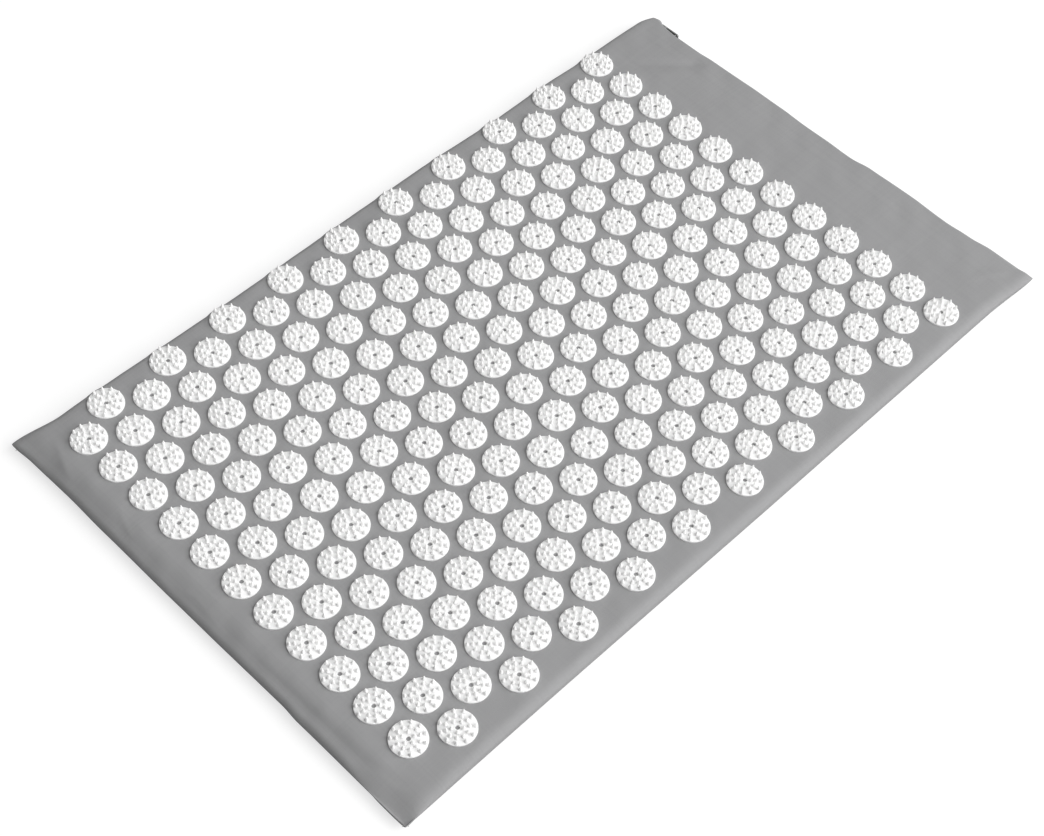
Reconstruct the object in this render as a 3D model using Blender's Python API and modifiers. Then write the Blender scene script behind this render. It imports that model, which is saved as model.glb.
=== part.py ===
"""Acupressure mat: a zipped canvas cover over a foam slab, with rows of moulded spike discs on top.

Metres, +Z up. The origin is under the middle of the mat, on the surface that it lies on.
+X runs along the mat towards the zip, and +Y runs across it.
"""
import math
import random

import bmesh
import bpy
from mathutils import Matrix, Vector

# Gap kept between pieces that touch, and the distance within which a mesh's loose caps are welded
CLEARANCE = 0.0003
WELD = 0.00001

# Sewn cover, filled and lying flat
COVER_LENGTH = 0.686
COVER_WIDTH = 0.420
CLOTH = 0.0008
SIDE_DRAW = 0.0015
END_ROLL = 0.018
SIDE_ROLL = 0.010
SEAM_LIFT = 0.003
COVER_SPAN = 0.100

# Seam thread, just inside the seam
THREAD_RADIUS = 0.0003
SEAM_INSET = 0.0016
THREAD_TURN = 0.002

# Foam slab
FOAM_THICKNESS = 0.016
FOAM_MARGIN = 0.008

# Spike disc, one moulding with a crown of spikes round its rim and more spikes inside it
DISC_RADIUS = 0.014
DISC_THICKNESS = 0.0015
SPIKE_INSET = 0.0018
SPIKE_ROW_GAP = 0.0039
SPIKE_HEIGHT = 0.0042
SPIKE_COUNT = 11
GLUE_BEAD_WIDTH = 0.0022
GLUE_BEAD_HEIGHT = 0.0005

# Pattern of the discs
DISC_SPACING = 0.006
BARE_SIDE = 0.0065
BARE_END = 0.022
BARE_ZIP_END = 0.0728
DISC_TURN_SEED = 27

# Coil zip: chain, tapes and stops
ZIP_RECESS = 0.0018
COIL_WIDTH = 0.0016
COIL_THICKNESS = 0.0018
CHAIN_SLIT = 0.001
TAPE_THICKNESS = 0.0005
TAPE_TAIL = 0.004
STOP_LENGTH = 0.002
STOP_BITE = 0.0004
ZIP_HEM_LIFT = 0.0016
FOAM_ZIP_ROOM = 0.0025

# Zip slider
SLIDER_LENGTH = 0.010
SLIDER_FLANGE = 0.001
SLIDER_WING = 0.0008
SLIDER_WEB = 0.0004
SLIDER_WEB_LENGTH = 0.004
SLIDER_TAIL_TAPER = 0.0005
SLIDER_SIDE_GAP = 0.0006
BAIL_LENGTH = 0.007
BAIL_WIDTH = 0.0016
BAIL_THICKNESS = 0.0007

# Pull tab
PULL_THICKNESS = 0.0012
PULL_RAIL = 0.001
PULL_GRIP = 0.014
PULL_HOLE_RADIUS = 0.001
PULL_HOLE_INSET = 0.0028

# Turns and counts
ROLL_POWER = 2
ARC_STEPS = 6
HOLE_STEPS = 12

# Where the cover has its fold lines, as shares of a rolled edge and of the lifted margin
ROLL_LINE_SHARES = (0, 0.03, 0.1, 0.22, 0.42, 0.7, 1)
LIFT_LINE_SHARES = (0, 0.3, 0.65, 1)
FOAM_LINE_SHARES = (0, 0.35, 1)
TAPE_LEG_SHARES = (0.9, 1.2, 1.6)
TAPE_TURN_SHARE = 0.9

# Heights and places that follow
TOP_HEIGHT = FOAM_THICKNESS + 2 * (CLOTH + CLEARANCE)
SEAM_HEIGHT = SEAM_LIFT + CLOTH + 2 * CLEARANCE
DISC_HEIGHT = TOP_HEIGHT + CLEARANCE
DISC_PITCH = 2 * DISC_RADIUS + DISC_SPACING
COLUMN_PITCH = DISC_PITCH * math.sqrt(3) / 2
SPIKE_CIRCLE_RADIUS = DISC_RADIUS - SPIKE_INSET
SPIKE_FOOT_RADIUS = SPIKE_CIRCLE_RADIUS - SPIKE_INSET
INNER_CIRCLE_RADIUS = SPIKE_CIRCLE_RADIUS - SPIKE_ROW_GAP
COIL_INNER = CHAIN_SLIT / 2
COIL_OUTER = COIL_INNER + COIL_WIDTH
CHANNEL_HALF = COIL_OUTER + CLEARANCE
SLIDER_HALF = CHANNEL_HALF + SLIDER_FLANGE
OPENING_HALF = SLIDER_HALF + SLIDER_SIDE_GAP
ZIP_HEIGHT = ZIP_HEM_LIFT + CLOTH + OPENING_HALF
ZIP_HEM_HEIGHT = ZIP_HEIGHT + OPENING_HALF
ZIP_X = COVER_LENGTH / 2 - ZIP_RECESS - COIL_THICKNESS / 2
TAPE_OFFSET = COIL_THICKNESS / 2 + CLEARANCE + TAPE_THICKNESS / 2
TAPE_DEPTH = COVER_LENGTH / 2 - ZIP_X + TAPE_OFFSET
INNER_WING_FACE = TAPE_OFFSET + TAPE_THICKNESS / 2 + CLEARANCE
OUTER_WING_FACE = COIL_THICKNESS / 2 + CLEARANCE
FOAM_ZIP_MARGIN = COVER_LENGTH / 2 - ZIP_X + INNER_WING_FACE + SLIDER_WING + FOAM_ZIP_ROOM
PULL_X = OUTER_WING_FACE + SLIDER_WING + CLEARANCE + PULL_THICKNESS / 2
BAIL_RISE = PULL_X + PULL_THICKNESS / 2 + CLEARANCE
PULL_WINDOW_HALF = BAIL_WIDTH / 2 + CLEARANCE
PULL_HALF = PULL_WINDOW_HALF + PULL_RAIL
PULL_WINDOW_LENGTH = BAIL_LENGTH / 2 + 2 * CLEARANCE
PULL_LENGTH = PULL_WINDOW_LENGTH + PULL_GRIP

# The zip's run: its tapes keep to the straight part of the end, and the pull tab stays between the hems
ZIP_RUN_END = COVER_WIDTH / 2 - SIDE_ROLL - CLEARANCE
CHAIN_HIGH = ZIP_RUN_END - TAPE_TAIL
COIL_HIGH = CHAIN_HIGH - STOP_LENGTH - CLEARANCE
SLIDER_HIGH = COIL_HIGH - SLIDER_LENGTH / 2
SLIDER_LOW = PULL_LENGTH - ZIP_RUN_END
COIL_LOW = SLIDER_LOW - SLIDER_LENGTH / 2


def finish(name, colour, roughness, metallic=0.0):
    """One material of a plain colour."""
    material = bpy.data.materials.new(name)
    material.use_nodes = True
    shader = material.node_tree.nodes["Principled BSDF"]
    shader.inputs["Base Color"].default_value = (*colour, 1)
    shader.inputs["Roughness"].default_value = roughness
    shader.inputs["Metallic"].default_value = metallic
    return material


def clear_scene():
    for item in list(bpy.data.objects):
        bpy.data.objects.remove(item, do_unlink=True)


def collection(name):
    group = bpy.data.collections.new(name)
    bpy.context.scene.collection.children.link(group)
    return group


def add_object(name, mesh, material=None):
    """An object of the mat, holding this mesh."""
    item = bpy.data.objects.new(name, mesh)
    PARTS.objects.link(item)
    if material and not mesh.materials:
        mesh.materials.append(material)
    return item


def add_cutter(name, mesh):
    """A guide that shapes another piece and isn't one itself."""
    item = bpy.data.objects.new(name, mesh)
    CUTTERS.objects.link(item)
    item.hide_render = True
    item.display_type = "WIRE"
    return item


def evaluated_mesh(item):
    """The object's mesh as the viewport shows it, with loose caps welded."""
    graph = bpy.context.evaluated_depsgraph_get()
    mesh = bpy.data.meshes.new_from_object(item.evaluated_get(graph))
    work = bmesh.new()
    work.from_mesh(mesh)
    bmesh.ops.remove_doubles(work, verts=work.verts, dist=WELD)
    work.to_mesh(mesh)
    work.free()
    return mesh


def union(item, *others):
    """Joins the others to the object, with one Boolean modifier each."""
    for other in others:
        join = item.modifiers.new("join_" + other.name, "BOOLEAN")
        join.operation = "UNION"
        join.object = other


def thicken(item, thickness, offset):
    shell = item.modifiers.new("cloth", "SOLIDIFY")
    shell.thickness = thickness
    shell.offset = offset
    shell.use_even_offset = True


def box_mesh(name, low, high):
    """A box between two corners."""
    work = bmesh.new()
    bmesh.ops.create_cube(work, size=1)
    size = Vector(high) - Vector(low)
    bmesh.ops.scale(work, vec=size, verts=work.verts)
    bmesh.ops.translate(work, vec=Vector(low) + size / 2, verts=work.verts)
    mesh = bpy.data.meshes.new(name)
    work.to_mesh(mesh)
    work.free()
    return mesh


def outline_mesh(name, outlines, half_thickness, place):
    """A flat outline, with any holes, made solid; place takes a point of it to the piece's own axes."""
    curve = bpy.data.curves.new(name, "CURVE")
    curve.dimensions = "2D"
    curve.fill_mode = "BOTH"
    curve.extrude = half_thickness
    for outline in outlines:
        spline = curve.splines.new("POLY")
        spline.points.add(len(outline) - 1)
        for point, (across, along) in zip(spline.points, outline):
            point.co = (across, along, 0, 1)
        spline.use_cyclic_u = True
    holder = add_cutter(name, curve)
    mesh = evaluated_mesh(holder)
    bpy.data.objects.remove(holder, do_unlink=True)
    for vertex in mesh.vertices:
        vertex.co = place(vertex.co)
    work = bmesh.new()
    work.from_mesh(mesh)
    bmesh.ops.recalc_face_normals(work, faces=work.faces)
    work.to_mesh(mesh)
    work.free()
    return mesh


def arc(centre, radius, start, end, steps=ARC_STEPS):
    """Points of an arc, from one angle in degrees to another."""
    points = []
    for step in range(steps + 1):
        angle = math.radians(start + (end - start) * step / steps)
        points.append((centre[0] + radius * math.cos(angle), centre[1] + radius * math.sin(angle)))
    return points


def smooth(share):
    """An even change from 0 to 1 with level ends."""
    share = min(1, max(0, share))
    return share * share * (3 - 2 * share)


def rolled(distance, roll):
    """Height share of a rolled edge: 0 on the seam and 1 where the panel is flat."""
    out = 1 - min(1, max(0, distance / roll))
    return (1 - out ** ROLL_POWER) ** (1 / ROLL_POWER)


def half_length(x, y):
    """Half the cover's length at y. The plain end is drawn in at its middle, and the zip end is straight."""
    if x > 0:
        return COVER_LENGTH / 2
    return COVER_LENGTH / 2 - SIDE_DRAW * (1 - (2 * y / COVER_WIDTH) ** 2)


def half_width(x):
    """Half the cover's width at x, drawn in at the middle of the long sides."""
    return COVER_WIDTH / 2 - SIDE_DRAW * (1 - (2 * x / COVER_LENGTH) ** 2)


def edge_distances(x, y):
    """Distances from a point of the cover to its nearer end and its nearer long side."""
    return half_length(x, y) - abs(x), half_width(x) - abs(y)


def zip_share(x, y):
    """1 along the zip's opening, falling to 0 at the end's two corners and on the rest of the cover."""
    if x < 0:
        return 0
    return 1 - smooth((abs(y) - (COVER_WIDTH / 2 - SIDE_ROLL)) / SIDE_ROLL)


def top_height(x, y):
    """Outer face of the top panel."""
    to_end, to_side = edge_distances(x, y)
    hem = SEAM_HEIGHT + (ZIP_HEM_HEIGHT - SEAM_HEIGHT) * zip_share(x, y)
    return hem + (TOP_HEIGHT - hem) * rolled(to_end, END_ROLL) * rolled(to_side, SIDE_ROLL)


def bottom_height(x, y):
    """Outer face of the bottom panel: flat on the floor, and lifted to the seam outside the foam."""
    to_end, to_side = edge_distances(x, y)
    end_margin = FOAM_ZIP_MARGIN if x > 0 else FOAM_MARGIN
    end_share = max(0, 1 - to_end / end_margin) ** 2
    side_share = max(0, 1 - to_side / FOAM_MARGIN) ** 2
    lift = SEAM_LIFT + (ZIP_HEM_LIFT - SEAM_LIFT) * zip_share(x, y)
    return lift * (1 - (1 - end_share) * (1 - side_share))


def foam_height(x, y):
    """Top of the foam, close under the top panel."""
    room = CLOTH + CLEARANCE
    nearer_x = x + math.copysign(room, x)
    nearer_y = y + math.copysign(room, y)
    return top_height(nearer_x, nearer_y) - room


def lines(low_edges, high_edges, half):
    """Fold lines between two edges: close together over each edge, and evenly spread between."""
    low = [-half + distance for distance in low_edges]
    high = [half - distance for distance in reversed(high_edges)]
    spans = max(1, round((high[0] - low[-1]) / COVER_SPAN))
    middle = [low[-1] + (high[0] - low[-1]) * step / spans for step in range(1, spans)]
    return low + middle + high


def shares_of(shares, width, start=0):
    return [start + (width - start) * share for share in shares]


def panel(name, x_lines, y_lines, height):
    """A sheet over the plan of the cover, with its vertices on the fold lines at the given height."""
    work = bmesh.new()
    columns = len(x_lines) - 1
    rows = len(y_lines) - 1
    bmesh.ops.create_grid(work, x_segments=columns, y_segments=rows, size=1)
    for vertex in work.verts:
        x = x_lines[round((vertex.co.x + 1) / 2 * columns)]
        y = y_lines[round((vertex.co.y + 1) / 2 * rows)]
        drawn_x = x * half_length(x, y) / (COVER_LENGTH / 2)
        drawn_y = y * half_width(x) / (COVER_WIDTH / 2)
        vertex.co = (drawn_x, drawn_y, height(drawn_x, drawn_y))
    return work


def shell_object(name, work, material):
    mesh = bpy.data.meshes.new(name)
    work.to_mesh(mesh)
    work.free()
    mesh.shade_smooth()
    return add_object(name, mesh, material)


def build_cover():
    """Top and bottom canvas panels, which meet at the seam."""
    end = shares_of(ROLL_LINE_SHARES, END_ROLL)
    side = shares_of(ROLL_LINE_SHARES, SIDE_ROLL)
    x_lines = lines(end, end, COVER_LENGTH / 2)
    y_lines = lines(side, side, COVER_WIDTH / 2)
    top = shell_object("cover_top_panel", panel("top", x_lines, y_lines, top_height), CANVAS)
    thicken(top, CLOTH, -1)

    end = shares_of(LIFT_LINE_SHARES, FOAM_MARGIN)
    zip_end = shares_of(LIFT_LINE_SHARES, FOAM_ZIP_MARGIN)
    x_lines = lines(end, zip_end, COVER_LENGTH / 2)
    y_lines = lines(end, end, COVER_WIDTH / 2)
    bottom = shell_object("cover_bottom_panel", panel("bottom", x_lines, y_lines, bottom_height), CANVAS)
    thicken(bottom, CLOTH, 1)


def build_seam_thread():
    """The thread that closes both long sides and the plain end, lying just inside the seam."""
    far_x = COVER_LENGTH / 2 - END_ROLL
    far_y = COVER_WIDTH / 2 - SEAM_INSET - THREAD_TURN
    long_steps = round(COVER_LENGTH / COVER_SPAN)
    end_steps = round(COVER_WIDTH / COVER_SPAN)
    near_x = COVER_LENGTH / 2 - SEAM_INSET - THREAD_TURN
    side = [(far_x - (far_x + near_x) * step / long_steps, far_y + THREAD_TURN) for step in range(long_steps)]
    turn = arc((-near_x, far_y), THREAD_TURN, 90, 180)
    end = [(-near_x - THREAD_TURN, far_y - 2 * far_y * step / end_steps) for step in range(1, end_steps)]
    route = side + turn + end
    route += [(x, -y) for x, y in reversed(side + turn)]

    curve = bpy.data.curves.new("seam_thread", "CURVE")
    curve.dimensions = "3D"
    curve.bevel_depth = THREAD_RADIUS
    curve.bevel_resolution = 0
    curve.use_fill_caps = True
    spline = curve.splines.new("POLY")
    spline.points.add(len(route) - 1)
    rise = (CLOTH + CLEARANCE + THREAD_RADIUS) * math.hypot(1, 2 * SEAM_LIFT / FOAM_MARGIN)
    for point, (x, y) in zip(spline.points, route):
        drawn_x = x * half_length(x, y) / (COVER_LENGTH / 2)
        drawn_y = y * half_width(x) / (COVER_WIDTH / 2)
        point.co = (drawn_x, drawn_y, bottom_height(drawn_x, drawn_y) + rise, 1)
    holder = add_cutter("seam_thread_route", curve)
    mesh = evaluated_mesh(holder)
    bpy.data.objects.remove(holder, do_unlink=True)
    add_object("seam_thread", mesh, THREAD)


def build_foam():
    """The foam slab, its upper edges pressed round by the cover."""
    low_end = shares_of(FOAM_LINE_SHARES, END_ROLL, FOAM_MARGIN)
    high_end = shares_of(FOAM_LINE_SHARES, END_ROLL, FOAM_ZIP_MARGIN)
    side = shares_of(FOAM_LINE_SHARES, max(SIDE_ROLL, FOAM_MARGIN + CLEARANCE), FOAM_MARGIN)
    x_lines = lines(low_end, high_end, COVER_LENGTH / 2)
    y_lines = lines(side, side, COVER_WIDTH / 2)
    work = panel("foam", x_lines, y_lines, foam_height)
    raised = bmesh.ops.extrude_face_region(work, geom=work.faces[:])["geom"]
    for vertex in raised:
        if isinstance(vertex, bmesh.types.BMVert):
            vertex.co.z = CLOTH + CLEARANCE
    bmesh.ops.recalc_face_normals(work, faces=work.faces)
    slab = shell_object("foam_core", work, FOAM)
    slab.data.set_sharp_from_angle(angle=math.radians(35))


def around(face):
    """The direction of a face's middle from the disc's axis."""
    middle = face.calc_center_median()
    return math.atan2(middle.y, middle.x)


def raise_spikes(work, faces, radius):
    """Raises each face to one spike whose tip stands on a circle of this radius, and returns the tips."""
    tips = bmesh.ops.poke(work, faces=faces)["verts"]
    for tip in tips:
        tip.co = tip.co.xy.normalized().to_3d() * radius
        tip.co.z = DISC_THICKNESS + SPIKE_HEIGHT
    return tips


def disc_geometry(work, y, turn):
    """One spike disc: a low frustum with a spike on each side face and on every other sector of its top."""
    corners = bmesh.ops.create_cone(
        work, cap_ends=True, segments=SPIKE_COUNT,
        radius1=DISC_RADIUS, radius2=SPIKE_FOOT_RADIUS, depth=DISC_THICKNESS)["verts"]
    bmesh.ops.translate(work, vec=(0, 0, DISC_THICKNESS / 2), verts=corners)
    faces = sorted({face for corner in corners for face in corner.link_faces}, key=around)
    sides = [face for face in faces if len(face.verts) == 4]
    top = max(faces, key=lambda face: face.calc_center_median().z)
    rim_tips = raise_spikes(work, sides, SPIKE_CIRCLE_RADIUS)
    sectors = bmesh.ops.poke(work, faces=[top])
    inner_tips = raise_spikes(work, sorted(sectors["faces"], key=around)[::2], INNER_CIRCLE_RADIUS)
    points = corners + rim_tips + sectors["verts"] + inner_tips
    bmesh.ops.rotate(work, cent=(0, 0, 0), matrix=Matrix.Rotation(turn, 3, "Z"), verts=points)
    bmesh.ops.translate(work, vec=(0, y, 0), verts=points)


def column_mesh(name, turns):
    """A column of discs, each turned as it was set down, on the bead of glue that holds them to the cloth."""
    work = bmesh.new()
    half_run = DISC_PITCH * (len(turns) - 1) / 2
    for row, turn in enumerate(turns):
        disc_geometry(work, row * DISC_PITCH - half_run, turn)
    mesh = bpy.data.meshes.new(name)
    work.to_mesh(mesh)
    work.free()
    discs = add_cutter(name, mesh)
    bead_outline = [(-GLUE_BEAD_WIDTH / 2, 0), (GLUE_BEAD_WIDTH / 2, 0), (0, GLUE_BEAD_HEIGHT)]
    bead = add_cutter(name + "_bead", outline_mesh(
        name + "_bead", [bead_outline], half_run, lambda point: Vector((point.x, point.z, point.y))))
    union(discs, bead)
    joined = evaluated_mesh(discs)
    bpy.data.objects.remove(discs, do_unlink=True)
    bpy.data.objects.remove(bead, do_unlink=True)
    joined.name = name
    return joined


def build_discs():
    """Columns of discs across the mat, each shifted by half a pitch from the one before it."""
    rows = 1 + int((COVER_WIDTH - 2 * (BARE_SIDE + DISC_RADIUS)) / DISC_PITCH)
    last_x = COVER_LENGTH / 2 - BARE_ZIP_END - DISC_RADIUS
    first_limit = -COVER_LENGTH / 2 + BARE_END + DISC_RADIUS
    columns = 1 + int((last_x - first_limit) / COLUMN_PITCH)
    draw = random.Random(DISC_TURN_SEED)
    for column in range(columns):
        from_last = columns - 1 - column
        turns = [draw.uniform(0, 2 * math.pi) for _ in range(rows - from_last % 2)]
        mesh = column_mesh(f"discs_{column + 1:02d}", turns)
        item = add_object(f"rosette_column_{column + 1:02d}", mesh, WHITE_PLASTIC)
        item.location = (last_x - from_last * COLUMN_PITCH, 0, DISC_HEIGHT)


def offset_point(height, distance, offset):
    """A point at an offset from the middle line of a panel at the zip, as depth and height."""
    x = COVER_LENGTH / 2 - distance
    step = CLEARANCE
    slope = (height(x - step, 0) - height(x + step, 0)) / (2 * step)
    normal = Vector((-slope, 1)).normalized()
    return Vector((distance, height(x, 0))) + normal * offset


def tape_profile(side):
    """Middle line of a zip tape, from the chain to its sewn edge inside a panel, in the zip's axes."""
    room = CLOTH + 2 * CLEARANCE + TAPE_THICKNESS / 2
    height = top_height if side > 0 else bottom_height
    leg = [offset_point(height, TAPE_DEPTH * share, -side * room) for share in TAPE_LEG_SHARES]
    turn = side * COIL_INNER + (leg[0].y - ZIP_HEIGHT - side * COIL_INNER) * TAPE_TURN_SHARE
    points = [(-TAPE_OFFSET, side * COIL_INNER), (-TAPE_OFFSET, turn)]
    for point in leg:
        points.append((COVER_LENGTH / 2 - point.x - ZIP_X, point.y - ZIP_HEIGHT))
    return points


def build_tape(name, side):
    profile = tape_profile(side)
    work = bmesh.new()
    spans = len(profile) - 1
    bmesh.ops.create_grid(work, x_segments=spans, y_segments=1, size=1)
    for vertex in work.verts:
        x, z = profile[round((vertex.co.x + 1) / 2 * spans)]
        vertex.co = (x, vertex.co.y * ZIP_RUN_END, z)
    bmesh.ops.recalc_face_normals(work, faces=work.faces)
    tape = shell_object(name, work, TAPE)
    tape.parent = ZIP_LINE
    thicken(tape, TAPE_THICKNESS, 0)


def zip_box(name, low, high, material):
    """A plain bar of the zip, placed in the zip's axes."""
    item = add_object(name, box_mesh(name, low, high), material)
    item.parent = ZIP_LINE
    return item


def build_chain():
    """Both coils, the stops crimped on their ends, and the tapes that carry them."""
    half = COIL_THICKNESS / 2
    stop = half - STOP_BITE
    for name, side in (("upper", 1), ("lower", -1)):
        near, far = sorted((side * COIL_INNER, side * COIL_OUTER))
        zip_box("zip_coil_" + name, (-half, COIL_LOW, near), (half, COIL_HIGH, far), COIL)
        stop_low = CHAIN_HIGH - STOP_LENGTH
        zip_box("zip_top_stop_" + name, (-half, stop_low, near), (stop, CHAIN_HIGH, far), METAL)
        build_tape("zip_tape_" + name, side)
    low_end = COIL_LOW - CLEARANCE
    stop_low = low_end - STOP_LENGTH
    zip_box("zip_bottom_stop", (-half, stop_low, -COIL_OUTER), (stop, low_end, COIL_OUTER), METAL)


def wing_outline():
    """A slider plate from the front: a full nose with round corners, and a tapered tail."""
    nose = SLIDER_LENGTH / 2
    corner = SLIDER_FLANGE
    tail = SLIDER_HALF - SLIDER_TAIL_TAPER
    points = arc((SLIDER_HALF - corner, nose - corner), corner, 0, 90)
    points += arc((corner - SLIDER_HALF, nose - corner), corner, 90, 180)
    points += arc((corner - tail, corner - nose), corner, 180, 270)
    points += arc((tail - corner, corner - nose), corner, 270, 360)
    return points


def bail_outline():
    """The bail from the side: a low arch on the front plate, standing in it at both feet."""
    foot = OUTER_WING_FACE + SLIDER_WING / 2
    half = BAIL_LENGTH / 2
    radius = BAIL_RISE + BAIL_THICKNESS - foot
    inner_radius = radius - BAIL_THICKNESS
    outer = [(foot, half)] + [
        (foot + rise, out) for out, rise in arc((half - radius, 0), radius, 30, 90)]
    outer += [(foot + rise, out) for out, rise in arc((radius - half, 0), radius, 90, 150)]
    outer += [(foot, -half)]
    inner = [(foot, BAIL_THICKNESS - half)] + [
        (foot + rise, out) for out, rise in arc((radius - half, 0), inner_radius, 150, 90)]
    inner += [(foot + rise, out) for out, rise in arc((half - radius, 0), inner_radius, 90, 30)]
    inner += [(foot, half - BAIL_THICKNESS)]
    return outer + inner


def build_slider():
    """Slider: two plates joined by a web, flanges that hold the coils, and a bail on the front."""
    half = SLIDER_LENGTH / 2
    centre_out = OUTER_WING_FACE + SLIDER_WING / 2
    centre_in = -INNER_WING_FACE - SLIDER_WING / 2
    plate = SLIDER_WING / 2
    outline = wing_outline()
    front = outline_mesh("slider_front", [outline], plate, lambda p: Vector((centre_out + p.z, p.y, p.x)))
    back = outline_mesh("slider_back", [outline], plate, lambda p: Vector((centre_in + p.z, p.y, p.x)))
    web = box_mesh(
        "slider_web", (centre_in, half - SLIDER_FLANGE - SLIDER_WEB_LENGTH, -SLIDER_WEB / 2),
        (centre_out, half - SLIDER_FLANGE, SLIDER_WEB / 2))
    bail = outline_mesh("slider_bail", [bail_outline()], BAIL_WIDTH / 2, lambda p: Vector((p.x, p.y, p.z)))
    joins = [add_cutter("slider_back", back), add_cutter("slider_web", web), add_cutter("slider_bail", bail)]
    for name, side in (("high", 1), ("low", -1)):
        near, far = sorted((side * CHANNEL_HALF, side * (SLIDER_HALF - SLIDER_TAIL_TAPER)))
        flange = box_mesh(
            "slider_flange_" + name, (CLEARANCE - COIL_THICKNESS / 2, SLIDER_FLANGE - half, near),
            (centre_out, half - SLIDER_FLANGE, far))
        joins.append(add_cutter("slider_flange_" + name, flange))
    base = add_cutter("slider_front", front)
    union(base, *joins)
    mesh = evaluated_mesh(base)
    for item in (base, *joins):
        bpy.data.objects.remove(item, do_unlink=True)
    slider = add_object("zip_slider", mesh, METAL)
    slider.parent = ZIP_LINE
    slider.location = (0, SLIDER_HIGH, 0)
    return slider


def build_pull(slider):
    """Pull tab: its cross bar passes under the bail, and its grip hangs down along the chain."""
    bar = PULL_THICKNESS / 2
    corner = PULL_RAIL
    outer = [(-bar, PULL_HALF), (-bar, -PULL_HALF)]
    outer += arc((PULL_LENGTH - corner, corner - PULL_HALF), corner, 270, 360)
    outer += arc((PULL_LENGTH - corner, PULL_HALF - corner), corner, 0, 90)
    window = [
        (bar, -PULL_WINDOW_HALF), (bar + PULL_WINDOW_LENGTH, -PULL_WINDOW_HALF),
        (bar + PULL_WINDOW_LENGTH, PULL_WINDOW_HALF), (bar, PULL_WINDOW_HALF)]
    hole = arc((PULL_LENGTH - PULL_HOLE_INSET, 0), PULL_HOLE_RADIUS, 0, 360, HOLE_STEPS)[:-1]
    mesh = outline_mesh(
        "zip_pull_tab", [outer, window, hole], bar, lambda point: Vector((point.z, -point.x, point.y)))
    pull = add_object("zip_pull_tab", mesh, METAL)
    pull.parent = slider
    pull.location = (PULL_X, 0, 0)


clear_scene()
PARTS = collection("acupressure_mat")
CUTTERS = collection("cutters")
CANVAS = finish("grey_canvas", (0.30, 0.30, 0.305), 0.9)
THREAD = finish("grey_thread", (0.26, 0.26, 0.265), 0.8)
FOAM = finish("white_foam", (0.85, 0.84, 0.80), 0.95)
WHITE_PLASTIC = finish("white_plastic", (0.87, 0.87, 0.87), 0.35)
TAPE = finish("zip_tape_cloth", (0.16, 0.16, 0.165), 0.9)
COIL = finish("zip_coil_nylon", (0.14, 0.14, 0.145), 0.45)
METAL = finish("zip_metal", (0.22, 0.22, 0.23), 0.35, 1.0)
ZIP_LINE = bpy.data.objects.new("zip_line", None)
ZIP_LINE.location = (ZIP_X, 0, ZIP_HEIGHT)
PARTS.objects.link(ZIP_LINE)
build_cover()
build_seam_thread()
build_foam()
build_discs()
build_chain()
build_pull(build_slider())
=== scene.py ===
"""Acupressure mat, dressed for its picture: a zipped grey canvas cover over foam, with glued spike discs.

Every length is in metres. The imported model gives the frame: +X runs along the mat to the zip end, +Y across
it to the side where the slider parks, and the floor is at zero height.
"""
import math
import random

import bmesh
import bpy
import numpy as np
from mathutils import Matrix, Quaternion, Vector


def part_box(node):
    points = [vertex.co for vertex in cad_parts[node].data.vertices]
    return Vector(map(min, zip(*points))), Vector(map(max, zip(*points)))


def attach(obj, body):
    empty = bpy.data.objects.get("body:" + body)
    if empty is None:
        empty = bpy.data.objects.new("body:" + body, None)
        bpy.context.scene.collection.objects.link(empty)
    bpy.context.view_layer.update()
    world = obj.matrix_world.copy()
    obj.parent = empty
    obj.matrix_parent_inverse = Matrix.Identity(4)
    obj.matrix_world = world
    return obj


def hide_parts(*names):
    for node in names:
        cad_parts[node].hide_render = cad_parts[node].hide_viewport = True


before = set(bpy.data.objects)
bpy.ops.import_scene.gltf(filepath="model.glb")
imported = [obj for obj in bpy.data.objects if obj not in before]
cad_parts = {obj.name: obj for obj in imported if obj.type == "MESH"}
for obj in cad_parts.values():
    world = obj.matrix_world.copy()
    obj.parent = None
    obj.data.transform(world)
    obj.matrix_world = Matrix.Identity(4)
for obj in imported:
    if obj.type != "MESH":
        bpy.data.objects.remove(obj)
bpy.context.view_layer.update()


# The studio: a wide pale floor, one large soft lamp from the near right and an even pale room.
# The camera stands off the corner between the plain end and the near side and looks down on the mat.
AIM = Vector((-0.0577, -0.0339, 0.0182))
CAMERA_DISTANCE = 1.584
CAMERA_AZIMUTH = -49.01
CAMERA_ELEVATION = 53.31
CAMERA_ROLL = 4.68
LENS = 73.1
FLOOR_RADIUS = 8.0
FLOOR_DROP = 0.0003
FLOOR_COLOUR = (0.38, 0.38, 0.38, 1)
FLOOR_SEEN_GLOW = 0.7
LAMP_FROM = Vector((0.34, -0.69, 0.64))
LAMP_DISTANCE = 6.0
LAMP_SIZE = 7.0
LAMP_SHARE = 0.89
ROOM_SHARE = 0.29


def node(tree, kind, settings=(), inputs=()):
    """A shader node with its settings, and its inputs as values or as sockets to link from."""
    made = tree.nodes.new(kind)
    for name, value in dict(settings).items():
        setattr(made, name, value)
    for name, value in dict(inputs).items():
        if isinstance(value, bpy.types.NodeSocket):
            tree.links.new(value, made.inputs[name])
        else:
            made.inputs[name].default_value = value
    return made


def sum_of(tree, operation, *values):
    """The result of one Math node."""
    return node(tree, "ShaderNodeMath", {"operation": operation}, dict(enumerate(values))).outputs[0]


def seen_directly(tree):
    """1 for what the camera sees straight, in gloss or through glass, and 0 for the light on things."""
    path = node(tree, "ShaderNodeLightPath")
    seen = sum_of(tree, "MAXIMUM", path.outputs["Is Camera Ray"], path.outputs["Is Glossy Ray"])
    return sum_of(tree, "MAXIMUM", seen, path.outputs["Is Transmission Ray"])


def blank_material(name):
    """A new material's node tree and its Principled BSDF."""
    material = bpy.data.materials.new(name)
    material.use_nodes = True
    return material, material.node_tree, material.node_tree.nodes["Principled BSDF"]


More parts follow.
